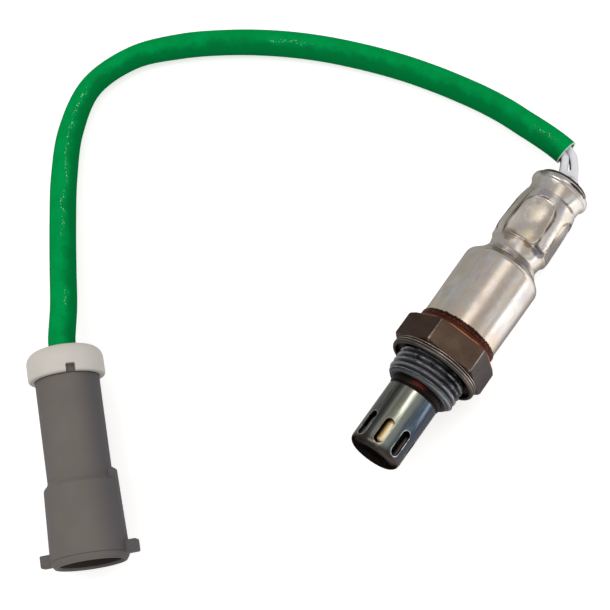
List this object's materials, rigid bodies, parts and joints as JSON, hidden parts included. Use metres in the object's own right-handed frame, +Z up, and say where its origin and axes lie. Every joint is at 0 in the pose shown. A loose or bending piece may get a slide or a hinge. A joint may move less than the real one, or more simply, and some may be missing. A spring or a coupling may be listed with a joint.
{
  "type": "oxygen sensor",
  "caption": "Threaded exhaust gas sensor with slotted shield, hexagon and crimped steel cover, on a green sleeved lead that ends in a round grey plug.",
  "frame": {"origin": "on the bench, below the middle of the sensor's own bounding box, leaving out the lead and plug", "axes": "+X along the sensor from its shielded tip to its wire end, +Y to the side on which the lead and plug lie, +Z up from the bench"},
  "size_m": [0.1624, 0.128, 0.0243],
  "materials": {
    "shell_steel": "heat-darkened, with worn corners",
    "gasket_steel": "satin sheet",
    "shield_steel": "polished, heat-tinted",
    "inner_steel": "straw-tinted sheet",
    "element_ceramic": "matte",
    "talc": "pressed powder",
    "cover_steel": "satin",
    "contact_alloy": "bright strip",
    "grommet_rubber": "matte",
    "wire_white": "satin",
    "wire_grey": "satin",
    "wire_black": "satin",
    "sleeve_green": "varnished weave",
    "collar_plastic": "satin moulding",
    "housing_plastic": "satin moulding",
    "seal_rubber": "matte",
    "carrier_plastic": "matte",
    "pin_tin": "tinned"
  },
  "bodies": {
    "root": {"metal_shell": "shell_steel", "sealing_gasket": "gasket_steel", "outer_shield": "shield_steel", "inner_shield": "inner_steel", "sensing_element": "element_ceramic", "heater_rod": "element_ceramic", "seat_washer": "gasket_steel", "talc_seal": "talc", "ceramic_bush": "element_ceramic", "clamp_ring": "gasket_steel", "rear_cover": "cover_steel", "inner_contact": "contact_alloy", "outer_contact": "contact_alloy", "heater_contact_a": "contact_alloy", "heater_contact_b": "contact_alloy", "terminal_separator": "element_ceramic", "separator_holder": "gasket_steel", "rear_grommet": "grommet_rubber", "wire_white_a": "wire_white", "wire_white_b": "wire_white", "wire_grey": "wire_grey", "wire_black": "wire_black", "lead_sleeve": "sleeve_green", "plug_collar": "collar_plastic", "plug_housing": "housing_plastic", "wire_seal": "seal_rubber", "pin_carrier": "carrier_plastic", "pin_signal_a": "pin_tin", "pin_signal_b": "pin_tin", "pin_heater_a": "pin_tin", "pin_heater_b": "pin_tin"}
  },
  "joints": []
}
